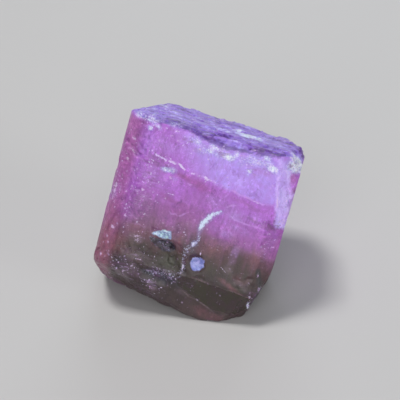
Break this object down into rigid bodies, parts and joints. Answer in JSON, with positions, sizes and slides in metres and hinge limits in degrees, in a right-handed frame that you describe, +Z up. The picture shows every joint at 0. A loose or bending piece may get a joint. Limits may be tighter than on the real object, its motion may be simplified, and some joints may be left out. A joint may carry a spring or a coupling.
{
  "type": "elbaite tourmaline crystal",
  "caption": "Stub of a bicolour tourmaline crystal: a worn pink to grey-olive prism, broken at top and back, that rests leaning on its broken base.",
  "frame": {"origin": "bottom centre of the stub's box, on the surface that it rests on", "axes": "+Z up; the broad front prism face looks towards -Y and a little up; the long axis leans towards +X and +Y"},
  "size_m": [0.0236, 0.0222, 0.021],
  "materials": {
    "tourmaline": "satin"
  },
  "bodies": {
    "root": {"crystal": "tourmaline"}
  },
  "joints": []
}
